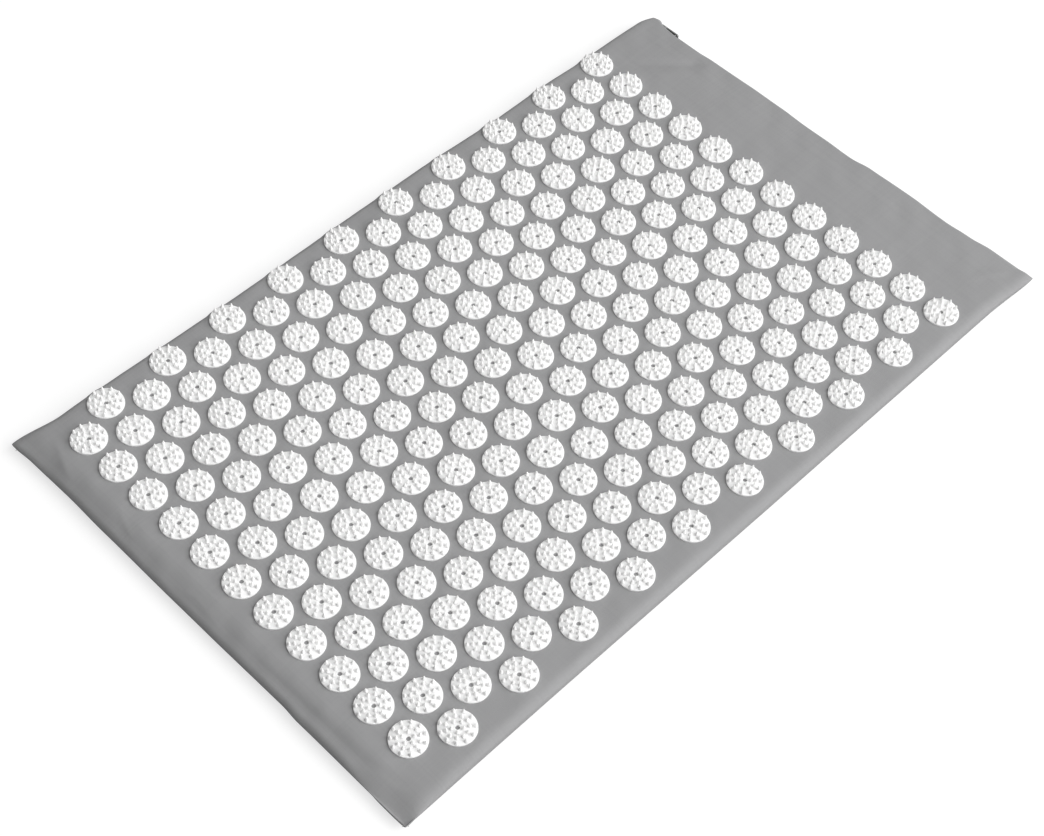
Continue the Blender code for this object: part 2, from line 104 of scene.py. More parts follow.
def placed(name, data):
    """A new object that shows this data, put in the scene."""
    made = bpy.data.objects.new(name, data)
    bpy.context.scene.collection.objects.link(made)
    return made


def away(azimuth, elevation):
    """The direction from the mat to something that stands at this azimuth and height."""
    turn, rise = math.radians(azimuth), math.radians(elevation)
    flat = math.cos(rise)
    return Vector((math.sin(turn) * flat, -math.cos(turn) * flat, math.sin(rise)))


camera = placed("camera", bpy.data.cameras.new("camera"))
back = away(CAMERA_AZIMUTH, CAMERA_ELEVATION)
camera.data.lens = LENS
camera.location = AIM + back * CAMERA_DISTANCE
camera.rotation_mode = "QUATERNION"
camera.rotation_quaternion = (
    (-back).to_track_quat("-Z", "Y") @ Quaternion((0, 0, 1), math.radians(CAMERA_ROLL)))
bpy.context.scene.camera = camera
bpy.context.scene.view_settings.view_transform = "Standard"

lamp = placed("lamp", bpy.data.lights.new("lamp", "AREA"))
lamp_way = LAMP_FROM.normalized()
lamp.data.shape = "DISK"
lamp.data.size = LAMP_SIZE
lamp.data.energy = LAMP_SHARE * (math.pi * LAMP_DISTANCE) ** 2 / lamp_way.z
lamp.location = lamp_way * LAMP_DISTANCE
lamp.rotation_euler = lamp_way.to_track_quat("Z", "Y").to_euler()

room = bpy.data.worlds.new("room")
room.use_nodes = True
bpy.context.scene.world = room
sky = room.node_tree.nodes["Background"]
room_light = node(room.node_tree, "ShaderNodeMapRange", (), {
    "Value": seen_directly(room.node_tree), "To Min": ROOM_SHARE, "To Max": 1.0})
room.node_tree.links.new(room_light.outputs["Result"], sky.inputs["Strength"])
sky.inputs["Color"].default_value = (1, 1, 1, 1)

bpy.ops.mesh.primitive_circle_add(
    vertices=96, radius=FLOOR_RADIUS, fill_type="NGON", location=(0, 0, -FLOOR_DROP))
floor = bpy.context.object
floor.name = "floor"
floor_material, tree, shader = blank_material("pale_floor")
shader.inputs["Base Color"].default_value = FLOOR_COLOUR
shader.inputs["Roughness"].default_value = 0.9
shader.inputs["Specular IOR Level"].default_value = 0.1
glow = node(tree, "ShaderNodeEmission", (), {
    "Strength": sum_of(tree, "MULTIPLY", seen_directly(tree), FLOOR_SEEN_GLOW)})
both = node(tree, "ShaderNodeAddShader", (), {0: shader.outputs[0], 1: glow.outputs[0]})
tree.links.new(both.outputs[0], tree.nodes["Material Output"].inputs["Surface"])
floor.data.materials.append(floor_material)


# The sewn cover's top panel: mid-grey plain-woven cotton canvas, cut larger than the foam, drawn over its
# edges and turned in at the seams. The plain end and both long sides are sewn, the other end has the zip.
panel_low, panel_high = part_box("cover_top_panel")
HALF_LENGTH = panel_high.x
HALF_WIDTH = panel_high.y
TOP_HEIGHT = panel_high.z
SEAM_HEIGHT = (panel_low.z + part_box("cover_bottom_panel")[1].z) / 2
CLOTH = 0.0008
BELLY_HEIGHT = 0.0088
NEAR_BELLY_RISE = 0.0026
NEAR_BELLY_ENDS = {"plain": 0.06, "zip": 0.03}
BELLY_UNDER = 0.0022
TURN_IN = 0.0009
MESH_STEP = 0.0033
EDGE_STEP = 0.0014
EDGE_REACH = 0.024

# Each edge has a roll (its width and how full it is) and before it a shoulder (its reach, the part of the
# reach in which it bends, and its slope)
ROLLS = {"plain": (0.0038, 2.0), "zip": (0.0036, 1.15), "near": (0.0075, 2.0), "far": (0.0075, 2.0)}
SHOULDERS = {
    "plain": (0.0200, 0.010, 0.40), "zip": (0.0680, 0.040, 0.055),
    "near": (0.0150, 0.009, 0.05), "far": (0.0150, 0.009, 0.10)}
FAR_CORNER_EASE = ((0, 1), (0.80, 1), (1, 0.45))

# The outline wanders as cloth does: places along each edge, from -1 to 1, and how far out the cloth is there
WANDERS = {
    "plain": (
        (-1, 0.0030), (-0.5, 0.0022), (-0.42, 0.0011), (-0.1, 0.0012), (0.1, 0.0010), (0.5, 0.0002),
        (0.7, -0.0007), (0.9, -0.0004), (1, 0.0010)),
    "zip": (
        (-1, 0.0042), (-0.92, 0.0045), (-0.82, 0.0045), (-0.72, 0.0019), (-0.62, 0.0002), (-0.45, 0.0014),
        (-0.24, 0.0003), (-0.15, -0.0026), (0, -0.0018), (0.3, -0.0006), (0.58, -0.0019), (0.7, -0.0035),
        (0.77, -0.0034), (0.86, -0.0012), (0.95, 0.0040), (1, 0.0014)),
    "near": ((-1, 0.0024), (-0.5, 0.0016), (0, 0.0017), (0.5, 0.0012), (0.85, 0.0008), (1, 0.0027)),
    "far": (
        (-1, 0.0015), (-0.88, -0.0045), (-0.38, -0.0058), (0, -0.0049), (0.2, -0.0044), (0.46, -0.0066),
        (0.6, -0.0058), (0.72, -0.0070), (1, -0.0064))}
WANDER_REACH = 0.045
ZIP_HEM_HEIGHT = 0.0107
ZIP_HEM_START = 0.3
ZIP_HEM_DRAW = 0.0028
ZIP_HEM_FADES = {"near": (0.1965, 0.2045), "far": (0.1990, 0.2065)}
ZIP_HEM_UNDER = 0.0003
ZIP_HEM_FLATTER = 0.35
HEM_WIDTH = 0.0022
ZIP_HEM_NARROWER = 0.0018
CORNER_TURN = 0.012
CORNER_ROUNDS = {"plain_near": 0.0012, "plain_far": 0.0018, "zip_near": 0.0012, "zip_far": 0.019}
CORNER_SAGS = {
    "plain_near": (0.0062, 0.042), "plain_far": (0.0035, 0.040), "zip_near": (0.0030, 0.040),
    "zip_far": (0.0020, 0.040)}

# The filled mat swells and sinks: broad swells (x, y, reach, height) and fine ones (length, seed, height)
SWELLS = ((-0.127, 0.0, 0.05, -0.0010), (-0.01, 0.0, 0.07, 0.0014), (0.16, 0.08, 0.09, -0.0006))
SWELL_STRETCH = 4
RIPPLES = ((0.11, 4, 0.00035), (0.030, 9, 0.00016))

# Folds, as a path of points, a half width and a height
FOLDS = (
    (((0.262, 0.2100), (0.2786, 0.1806), (0.2847, 0.1651), (0.297, 0.1507), (0.3147, 0.1354), (0.330, 0.128)),
     0.0052, -0.0016),
    (((-0.3365, -0.050), (-0.3345, -0.1225), (-0.3340, -0.155), (-0.3310, -0.1698), (-0.3280, -0.1829),
      (-0.3230, -0.200)), 0.0036, -0.0007),
    (((-0.3365, -0.020), (-0.3340, 0.010), (-0.3365, 0.035)), 0.0024, 0.0004),
    (((-0.3350, 0.080), (-0.3290, 0.1000), (-0.3240, 0.1080)), 0.0026, 0.0004),
    (((-0.3350, 0.150), (-0.3310, 0.1640), (-0.3200, 0.1900)), 0.0030, 0.0005),
    (((0.3300, -0.196), (0.3180, -0.1860), (0.3000, -0.1810)), 0.0030, 0.0005))
CANVAS_GREY = (0.325, 0.325, 0.329, 1)
THREAD_PITCH = 0.00055
DISC_RADIUS = 0.014
DISC_PITCH = 0.034
LAST_COLUMN = 0.2562
DISC_PRESS = 0.0002
DISC_PRESS_EDGE = 0.004

# Where the discs are glued, as the x of each column and the y of each disc in it
column_names = sorted(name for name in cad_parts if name.startswith("rosette_column"))
disc_columns = []
for number, name in enumerate(column_names, start=1):
    low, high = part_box(name)
    count = round((high.y - low.y - 2 * DISC_RADIUS) / DISC_PITCH) + 1
    column_x = LAST_COLUMN - (len(column_names) - number) * DISC_PITCH * math.sqrt(3) / 2
    disc_columns.append((column_x, (np.arange(count) - (count - 1) / 2) * DISC_PITCH))


def eased(table, share):
    """The value of a table of (place, value) pairs at each share, with soft steps between its places."""
    places = np.array([place for place, _ in table], float)
    values = np.array([value for _, value in table], float)
    share = np.clip(share, places[0], places[-1])
    left = np.clip(np.searchsorted(places, share, side="right") - 1, 0, len(places) - 2)
    part = (share - places[left]) / (places[left + 1] - places[left])
    part = part * part * (3 - 2 * part)
    return values[left] * (1 - part) + values[left + 1] * part


def ramp(value, start, end):
    """A smooth step from 0 at start to 1 at end."""
    part = np.clip((value - start) / (end - start), 0, 1)
    return part * part * (3 - 2 * part)


def ripples(x, y, length, seed, count=7):
    """Gentle unevenness from a few plane waves of about the given length, between about -1 and 1."""
    draw = np.random.default_rng(seed)
    total = np.zeros(np.shape(x))
    for _ in range(count):
        turn, phase = draw.uniform(0, 2 * math.pi, 2)
        number = 2 * math.pi / (length * draw.uniform(0.7, 1.4))
        total += np.sin(number * (x * math.cos(turn) + y * math.sin(turn)) + phase)
    return total / math.sqrt(count)


def to_edges(x, y):
    """How far the points of the flat rectangle lie inside each edge."""
    return {"plain": HALF_LENGTH + x, "zip": HALF_LENGTH - x, "near": HALF_WIDTH + y, "far": HALF_WIDTH - y}


def zip_opening(y):
    """1 along the zip's opening, and 0 at its two corners."""
    return 1 - ramp(-y, *ZIP_HEM_FADES["near"]) - ramp(y, *ZIP_HEM_FADES["far"])


def laid_out(x, y, hem_draw=ZIP_HEM_DRAW):
    """Where the sewn outline puts the points of the flat rectangle: x and y in the mat's frame."""
    inside = to_edges(x, y)
    rounded_x, rounded_y = x.copy(), y.copy()
    for name, radius in CORNER_ROUNDS.items():
        end, side = name.split("_")
        reach = max(radius, CORNER_TURN)
        p = np.clip(1 - inside[end] / reach, 0, 1)
        q = np.clip(1 - inside[side] / reach, 0, 1)
        shift_x = p * (1 - np.sqrt(1 - q * q / 2)) * radius
        shift_y = q * (1 - np.sqrt(1 - p * p / 2)) * radius
        rounded_x += shift_x if end == "plain" else -shift_x
        rounded_y += shift_y if side == "near" else -shift_y
    out = {}
    for name, table in WANDERS.items():
        along = y / HALF_WIDTH if name in ("plain", "zip") else x / HALF_LENGTH
        out[name] = eased(table, along)
    out["zip"] = out["zip"] - hem_draw * zip_opening(y)
    for name in out:
        out[name] = out[name] * np.clip(1 - inside[name] / WANDER_REACH, 0, 1) ** 2
    return rounded_x + out["zip"] - out["plain"], rounded_y + out["far"] - out["near"]


def swell(x, y):
    """How far the filled mat's top stands above or below a flat one."""
    rise = sum(height * ripples(x, y, length, seed) for length, seed, height in RIPPLES)
    for at_x, at_y, reach, height in SWELLS:
        long_reach = SWELL_STRETCH * reach
        rise = rise + height * np.exp(-((x - at_x) / reach) ** 2 - ((y - at_y) / long_reach) ** 2)
    return rise


def folded(x, y):
    """How far the folds lift the cloth, highest in the middle of each."""
    rise = np.zeros(np.shape(x))
    for path, half_width, height in FOLDS:
        nearest, share = np.full(np.shape(x), 1.0), np.zeros(np.shape(x))
        lengths = [math.dist(a, b) for a, b in zip(path, path[1:])]
        walked = 0.0
        for (start_x, start_y), (end_x, end_y), length in zip(path, path[1:], lengths):
            along_x, along_y = (end_x - start_x) / length, (end_y - start_y) / length
            along = np.clip((x - start_x) * along_x + (y - start_y) * along_y, 0, length)
            off = np.hypot(x - start_x - along * along_x, y - start_y - along * along_y)
            share = np.where(off < nearest, (walked + along) / sum(lengths), share)
            nearest = np.minimum(nearest, off)
            walked += length
        rise = rise + height * np.sin(math.pi * share) ** 0.5 * np.exp(-(nearest / half_width) ** 2)
    return rise


def free_surface(x, y):
    """Height of the top panel's outer face over the flat rectangle, before the discs press on it."""
    roll, level = 1.0, TOP_HEIGHT + swell(x, y) + folded(x, y)
    inside = to_edges(x, y)
    for name in inside:
        width, fullness = ROLLS[name]
        roll = roll * (1 - (1 - np.clip(inside[name] / width, 0, 1)) ** fullness) ** (1 / fullness)
        reach, bend, slope = SHOULDERS[name]
        if name == "plain":
            slope = slope * eased(FAR_CORNER_EASE, y / HALF_WIDTH)
        within = np.clip(reach - inside[name], 0, None)
        level = level - slope * np.where(within < bend, within ** 2 / (2 * bend), within - bend / 2)
    for name, (sag, reach) in CORNER_SAGS.items():
        end, side = name.split("_")
        level = level - sag * np.exp(-(inside[end] ** 2 + inside[side] ** 2) / reach ** 2)
    near_rise = ramp(inside["far"], HALF_WIDTH, 2 * HALF_WIDTH)
    for end, reach in NEAR_BELLY_ENDS.items():
        near_rise = near_rise * ramp(inside[end], 0, reach)
    rim = BELLY_HEIGHT + NEAR_BELLY_RISE * near_rise
    rim = rim + (ZIP_HEM_HEIGHT - BELLY_HEIGHT) * zip_opening(y) * ramp(x, ZIP_HEM_START, HALF_LENGTH)
    return rim + (level - rim) * roll


def cloth_at(x, y):
    """The points of the flat rectangle that come to lie at these places."""
    flat_x, flat_y = x.copy(), y.copy()
    for _ in range(5):
        placed_x, placed_y = laid_out(flat_x, flat_y)
        flat_x, flat_y = flat_x + x - placed_x, flat_y + y - placed_y
    return flat_x, flat_y


def seat_of(x, y):
    """Height and slopes of the flat patch of cloth under a disc."""
    reach = DISC_RADIUS / 2
    around_x, around_y = x + np.array([reach, -reach, 0, 0]), y + np.array([0, 0, reach, -reach])
    around = free_surface(*cloth_at(around_x, around_y))
    slope_x, slope_y = (around[0] - around[1]) / (2 * reach), (around[2] - around[3]) / (2 * reach)
    return around.mean() - DISC_PRESS, slope_x, slope_y


def top_surface(x, y):
    """Height of the top panel's outer face, flat under each disc."""
    height = free_surface(x, y)
    placed_x, placed_y = laid_out(x, y)
    inner = np.minimum.reduce(list(to_edges(x, y).values()))
    for column_x, rows in disc_columns:
        for row_y in rows:
            off_x, off_y = placed_x - column_x, placed_y - row_y
            share = 1 - ramp(np.hypot(off_x, off_y), DISC_RADIUS, DISC_RADIUS + DISC_PRESS_EDGE)
            if share.any():
                seat, slope_x, slope_y = seat_of(column_x, row_y)
                share = share * ramp(inner, 0, DISC_PRESS_EDGE)
                height = height + (seat + slope_x * off_x + slope_y * off_y - height) * share
    return height


def edge_lines(half, low_roll, high_roll, steps=8):
    """Places of a grid's lines across the cover: closest together on its rolls, then on its shoulders."""
    ends = []
    for roll in (low_roll, high_roll):
        rolled = roll * (1 - np.cos(np.linspace(0, math.pi / 2, steps + 1)))
        ends.append(np.concatenate([rolled, np.arange(roll + EDGE_STEP, EDGE_REACH, EDGE_STEP)]))
    first, last = ends[0][-1] - half, half - ends[1][-1]
    middle = np.linspace(first, last, round((last - first) / MESH_STEP) + 1)
    return np.concatenate([ends[0][:-1] - half, middle, half - ends[1][-2::-1]])


def grid_faces(index):
    """The four-sided faces between the points of a grid, which is given as the points' numbers."""
    corners = [index[:-1, :-1], index[1:, :-1], index[1:, 1:], index[:-1, 1:]]
    return np.stack(corners, axis=-1).reshape(-1, 4)


def grid_mesh(name, points, faces, **layers):
    """A smooth mesh of points and faces, with vector layers such as the cloth's flat places."""
    mesh = bpy.data.meshes.new(name)
    mesh.from_pydata(points.tolist(), [], faces.tolist())
    for layer, values in layers.items():
        made = mesh.attributes.new(layer, "FLOAT_VECTOR", "POINT")
        made.data.foreach_set("vector", np.ascontiguousarray(values, float).ravel())
    work = bmesh.new()
    work.from_mesh(mesh)
    bmesh.ops.remove_doubles(work, verts=work.verts, dist=0.000002)
    work.to_mesh(mesh)
    work.free()
    mesh.shade_smooth()
    return placed(name, mesh)


def rim_rings(x, y, z, upward):
    """Steps of a panel's rim from its edge to its turned-in end, as (inward, height) pairs of arrays."""
    opening = zip_opening(y) * (x > HALF_LENGTH / 2)
    rings = []
    if upward:
        under = BELLY_UNDER * (1 - opening)
        drop = np.maximum(z - SEAM_HEIGHT - TURN_IN, 0) * (1 - opening) + ZIP_HEM_UNDER * opening
        for angle in (22, 44, 66, 85):
            turn = math.radians(angle)
            rings.append((under * (1 - math.cos(turn)), z - drop * math.sin(turn)))
        z = z - drop
        last = under
    else:
        last = np.zeros(len(x))
    way = -1 if upward else 1
    fold = TURN_IN * (1 - ZIP_HEM_FLATTER * opening)
    for angle in (30, 60, 90):
        turn = math.radians(angle)
        rings.append((last + fold * (1 - math.cos(turn)), z + way * fold * math.sin(turn)))
    rings.append((last + fold + HEM_WIDTH - ZIP_HEM_NARROWER * opening, z + way * fold))
    return rings


def panel(name, x_lines, y_lines, height, upward):
    """One panel of the cover: a grid with rings round its rim that go under the belly and turn in."""
    columns, rows = len(x_lines), len(y_lines)
    x, y = np.meshgrid(x_lines, y_lines, indexing="ij")
    place_x, place_y = laid_out(x, y) if upward else laid_out(x, y, 0.0)
    if not upward:
        place_x = place_x * (1 - BELLY_UNDER / HALF_LENGTH)
        place_y = place_y * (1 - BELLY_UNDER / HALF_WIDTH)
    points = np.stack([place_x, place_y, height(x, y)], axis=-1)

    # Flat places of the cloth, measured along it
    run_x = np.linalg.norm(np.diff(points, axis=0), axis=-1)
    run_y = np.linalg.norm(np.diff(points, axis=1), axis=-1)
    flat_x = np.concatenate([np.zeros((1, rows)), np.cumsum(run_x, axis=0)])
    flat_y = np.concatenate([np.zeros((columns, 1)), np.cumsum(run_y, axis=1)], axis=1)
    flat_x -= flat_x[columns // 2]
    flat_y -= flat_y[:, rows // 2][:, None]
    flat = np.stack([flat_x, flat_y, np.zeros_like(flat_x)], axis=-1)

    index = np.arange(columns * rows).reshape(columns, rows)
    faces = [grid_faces(index)]
    all_points, all_flat = [points.reshape(-1, 3)], [flat.reshape(-1, 3)]
    grid_x, grid_y = x.ravel(), y.ravel()
    rims = (
        (index[0, ::-1], 1, 0), (index[-1, :], -1, 0), (index[:, 0], 0, 1), (index[::-1, -1], 0, -1))
    for rim, inward_x, inward_y in rims:
        start, start_flat = all_points[0][rim], all_flat[0][rim]
        rim_x, rim_y = grid_x[rim], grid_y[rim]

        # Both rims of a corner meet on its diagonal
        corner_x = -np.sign(rim_x) * ramp(np.abs(rim_x), HALF_LENGTH - CORNER_TURN, HALF_LENGTH)
        corner_y = -np.sign(rim_y) * ramp(np.abs(rim_y), HALF_WIDTH - CORNER_TURN, HALF_WIDTH)
        meet_x, meet_y = inward_x or corner_x, inward_y or corner_y
        previous, before, length = rim, start, np.zeros(len(rim))
        for step, z in rim_rings(rim_x, rim_y, start[:, 2], upward):
            ring = start.copy()
            ring[:, 0] += meet_x * step
            ring[:, 1] += meet_y * step
            ring[:, 2] = z
            length = length + np.linalg.norm(ring - before, axis=1)
            ring_flat = start_flat.copy()
            ring_flat[:, 0] -= inward_x * length
            ring_flat[:, 1] -= inward_y * length
            first = sum(len(block) for block in all_points)
            current = np.arange(first, first + len(rim))
            all_points.append(ring)
            all_flat.append(ring_flat)
            faces.append(np.stack([previous[1:], previous[:-1], current[:-1], current[1:]], axis=-1))
            previous, before = current, ring
    faces = np.concatenate(faces)
    if not upward:
        faces = faces[:, ::-1]
    return grid_mesh(name, np.concatenate(all_points), faces, cut=np.concatenate(all_flat))


def socket(group, name, way, kind):
    group.interface.new_socket(name, in_out=way, socket_type=kind)


def weave_group():
    """Node group of a plain weave: each thread passes over one and under the next."""
    group = bpy.data.node_groups.new("plain_weave", "ShaderNodeTree")
    socket(group, "Place", "INPUT", "NodeSocketVector")
    socket(group, "Pitch", "INPUT", "NodeSocketFloat")
    socket(group, "Unevenness", "INPUT", "NodeSocketFloat")
    socket(group, "Height", "OUTPUT", "NodeSocketFloat")
    socket(group, "Shade", "OUTPUT", "NodeSocketFloat")
    start, end = group.nodes.new("NodeGroupInput"), group.nodes.new("NodeGroupOutput")
    place, pitch, uneven = (start.outputs[name] for name in ("Place", "Pitch", "Unevenness"))

    slub = node(group, "ShaderNodeTexNoise", {"noise_dimensions": "2D"}, {
        "Vector": place, "Scale": 130.0, "Detail": 2.0, "Roughness": 0.5})
    split = node(group, "ShaderNodeSeparateXYZ", (), {0: place})
    drift = sum_of(group, "MULTIPLY", sum_of(group, "SUBTRACT", slub.outputs["Fac"], 0.5), uneven)
    waves, numbers = [], []
    for axis in ("X", "Y"):
        count = sum_of(group, "ADD", sum_of(group, "DIVIDE", split.outputs[axis], pitch), drift)
        numbers.append(sum_of(group, "FLOOR", count))
        waves.append(sum_of(group, "SINE", sum_of(group, "MULTIPLY", count, math.pi)))
    warp, weft = (sum_of(group, "ABSOLUTE", wave) for wave in waves)
    over = sum_of(group, "GREATER_THAN", sum_of(group, "MULTIPLY", *waves), 0.0)
    soft_warp, soft_weft = sum_of(group, "POWER", warp, 0.4), sum_of(group, "POWER", weft, 0.4)
    warp_up = sum_of(group, "MULTIPLY", warp, soft_weft)
    weft_up = sum_of(group, "MULTIPLY", soft_warp, weft)
    height = node(group, "ShaderNodeMix", (), {0: over, 2: weft_up, 3: warp_up}).outputs[0]

    # Each thread has its own shade
    shades = []
    for number in numbers:
        shades.append(node(group, "ShaderNodeTexWhiteNoise", {"noise_dimensions": "1D"}, {
            "W": number}).outputs["Value"])
    own = node(group, "ShaderNodeMix", (), {0: over, 2: shades[1], 3: shades[0]}).outputs[0]
    group.links.new(height, end.inputs["Height"])
    group.links.new(own, end.inputs["Shade"])
    return group


def thicken(piece, name, thickness):
    """Gives a sheet its thickness, inwards from its outer face."""
    shell = piece.modifiers.new(name, "SOLIDIFY")
    shell.thickness = thickness
    shell.offset = -1


def emboss(tree, shader, height, strength, distance):
    """Fine relief on a material, from a height of 0 to 1."""
    relief = node(tree, "ShaderNodeBump", (), {"Height": height, "Strength": strength, "Distance": distance})
    tree.links.new(relief.outputs["Normal"], shader.inputs["Normal"])


def roughen(tree, shader, value, low, high):
    """A roughness that runs from low to high as the value goes from 0 to 1."""
    rough = node(tree, "ShaderNodeMapRange", (), {"Value": value, "To Min": low, "To Max": high})
    tree.links.new(rough.outputs["Result"], shader.inputs["Roughness"])


def tinted(tree, colour, low, high, factor):
    """A colour that runs from low to high times itself as the factor goes from 0 to 1."""
    gain = node(tree, "ShaderNodeMapRange", (), {"Value": factor, "To Min": low, "To Max": high})
    return node(tree, "ShaderNodeVectorMath", {"operation": "SCALE"}, {
        0: colour[:3], "Scale": gain.outputs["Result"]}).outputs[0]


plain_weave = weave_group()
canvas, tree, shader = blank_material("grey_canvas")
cut_place = node(tree, "ShaderNodeAttribute", {"attribute_name": "cut"}).outputs["Vector"]
weave = node(tree, "ShaderNodeGroup", {"node_tree": plain_weave}, {
    "Place": cut_place, "Pitch": THREAD_PITCH, "Unevenness": 0.5})
worn = node(tree, "ShaderNodeTexNoise", (), {"Vector": cut_place, "Scale": 14.0, "Detail": 4.0})
# The canvas is darker where the weave lies low: painted shade in the gaps between the threads. Each thread's
# own tone and the broad noise are the cloth's own colour.
thread_tone_and_gap_shade = sum_of(tree, "MULTIPLY_ADD", weave.outputs["Height"], 0.55, sum_of(
    tree, "MULTIPLY", weave.outputs["Shade"], 0.3))
thread_tone_and_gap_shade = sum_of(tree, "MULTIPLY_ADD", worn.outputs["Fac"], 0.3, thread_tone_and_gap_shade)
tree.links.new(tinted(tree, CANVAS_GREY, 0.86, 1.12, thread_tone_and_gap_shade), shader.inputs["Base Color"])
emboss(tree, shader, weave.outputs["Height"], 0.6, 0.00012)
roughen(tree, shader, weave.outputs["Height"], 0.98, 0.84)
shader.inputs["Specular IOR Level"].default_value = 0.2
shader.inputs["Sheen Weight"].default_value = 0.08
shader.inputs["Sheen Roughness"].default_value = 0.5

x_lines = edge_lines(HALF_LENGTH, ROLLS["plain"][0], ROLLS["zip"][0])
y_lines = edge_lines(HALF_WIDTH, ROLLS["near"][0], ROLLS["far"][0])
cover_top = panel("cover_top", x_lines, y_lines, top_surface, True)
cover_top.data.materials.append(canvas)
thicken(cover_top, "cloth", CLOTH)
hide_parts("cover_top_panel")
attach(cover_top, "mat")


# The cover's bottom panel: the same canvas, flat on the floor and lifted towards the seams.
# It is turned in against the top panel, and at the zip it makes the lower hem.
BOTTOM_LIFT = SEAM_HEIGHT - TURN_IN
BOTTOM_HEM_HEIGHT = 0.0015
BOTTOM_MARGIN = 0.008


def bottom_surface(x, y):
    """Height of the bottom panel's outer face over a point of the flat rectangle."""
    end = np.clip(1 - (HALF_LENGTH - np.abs(x)) / BOTTOM_MARGIN, 0, 1)
    side = np.clip(1 - (HALF_WIDTH - np.abs(y)) / BOTTOM_MARGIN, 0, 1)
    edge = 1 - (1 - end ** 2) * (1 - side ** 2)
    hem = BOTTOM_LIFT + (BOTTOM_HEM_HEIGHT - BOTTOM_LIFT) * zip_opening(y) * (x > 0)
    return hem * edge


cover_bottom = panel(
    "cover_bottom", edge_lines(HALF_LENGTH, BOTTOM_MARGIN, BOTTOM_MARGIN, 6),
    edge_lines(HALF_WIDTH, BOTTOM_MARGIN, BOTTOM_MARGIN, 6), bottom_surface, False)
cover_bottom.data.materials.append(canvas)
thicken(cover_bottom, "cloth", CLOTH)
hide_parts("cover_bottom_panel")
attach(cover_bottom, "mat")


# The foam slab inside the cover: soft open-cell foam, cut square and pressed round by the cloth at its
# upper edges and corners. It lies loose on the bottom panel.
FOAM_GAP = 0.0003
FOAM_TAPE_ROOM = 0.0012
FOAM_TAPE_REACH = (0.010, 0.003)
FOAM_EDGE = 0.008
FOAM_EDGE_LINES = (0, 0.1, 0.35, 1)
FOAM_CORNER = 0.016
FOAM_CORNER_PRESS = 0.0045
foam_low, foam_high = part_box("foam_core")
FOAM_CREAM = (0.74, 0.7, 0.6, 1)


def foam_lines(low, high):
    """Places of the foam grid's lines, close together near its edges."""
    inset = np.array(FOAM_EDGE_LINES) * FOAM_EDGE
    middle = np.linspace(low + inset[-1], high - inset[-1], round((high - low) / (2 * MESH_STEP)))
    return np.concatenate([low + inset[:-1], middle, high - inset[-2::-1]])


def foam_slab():
    """A closed slab: its top follows the cloth, its bottom is flat, and its sides are upright."""
    x_lines, y_lines = foam_lines(foam_low.x, foam_high.x), foam_lines(foam_low.y, foam_high.y)
    x, y = np.meshgrid(x_lines, y_lines, indexing="ij")
    place_x, place_y = laid_out(x, y)
    corner = ramp(np.abs(x), foam_high.x - FOAM_CORNER, foam_high.x) * (
        ramp(np.abs(y), foam_high.y - FOAM_CORNER, foam_high.y))
    place_x = place_x - np.sign(x) * corner * FOAM_CORNER_PRESS
    place_y = place_y - np.sign(y) * corner * FOAM_CORNER_PRESS
    tape_start, tape_end = (foam_high.x - reach for reach in FOAM_TAPE_REACH)
    room = CLOTH + FOAM_GAP + FOAM_TAPE_ROOM * ramp(x, tape_start, tape_end)
    top = np.stack([place_x, place_y, top_surface(x, y) - room], axis=-1)
    bottom = top.copy()
    bottom[..., 2] = foam_low.z
    columns, rows = x.shape
    index = np.arange(columns * rows).reshape(columns, rows)
    under = index + columns * rows
    quads = [
        grid_faces(index),
        np.stack([under[:-1, :-1], under[:-1, 1:], under[1:, 1:], under[1:, :-1]], axis=-1).reshape(-1, 4)]
    rim = np.concatenate([index[:-1, 0], index[-1, :-1], index[:0:-1, -1], index[0, :0:-1]])
    after = np.roll(rim, -1)
    quads.append(np.stack([rim, rim + columns * rows, after + columns * rows, after], axis=-1))
    points = np.concatenate([top.reshape(-1, 3), bottom.reshape(-1, 3)])
    return grid_mesh("foam_pad", points, np.concatenate(quads))


foam_pad = foam_slab()
foam_pad.data.set_sharp_from_angle(angle=math.radians(50))
foam, tree, shader = blank_material("open_cell_foam")
place = node(tree, "ShaderNodeTexCoord").outputs["Object"]
cells = node(tree, "ShaderNodeTexVoronoi", {"feature": "F1"}, {"Vector": place, "Scale": 900.0})
blotch = node(tree, "ShaderNodeTexNoise", (), {"Vector": place, "Scale": 25.0, "Detail": 3.0})
# The foam is darker in the hollow at the heart of each cell, where its relief lies low: painted shade in the
# pores. The broad blotches are the foam's own uneven tone.
pore_shade_and_blotch = sum_of(tree, "MULTIPLY_ADD", blotch.outputs["Fac"], 0.3, cells.outputs["Distance"])
tree.links.new(tinted(tree, FOAM_CREAM, 0.75, 1.05, pore_shade_and_blotch), shader.inputs["Base Color"])
emboss(tree, shader, cells.outputs["Distance"], 0.7, 0.0004)
shader.inputs["Roughness"].default_value = 0.95
shader.inputs["Specular IOR Level"].default_value = 0.1
foam_pad.data.materials.append(foam)
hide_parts("foam_core")
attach(foam_pad, "mat")


# The seam's lockstitches: grey polyester thread that closes both long sides and the plain end from inside.
# Short stitches lie in the crease between the two panels.
STITCH_PITCH = 0.003
STITCH_LENGTH = 0.0024
STITCH_RADIUS = 0.00022
STITCH_BEHIND = 0.0011
STITCH_DEPTH = BELLY_UNDER + STITCH_BEHIND

# Places along a stitch, from 0 to 1, and how thick it is there
STITCH_SHAPE = ((0.0, 0.15), (0.12, 0.8), (0.5, 1.0), (0.88, 0.8), (1.0, 0.15))
THREAD_GREY = (0.2, 0.2, 0.205, 1)


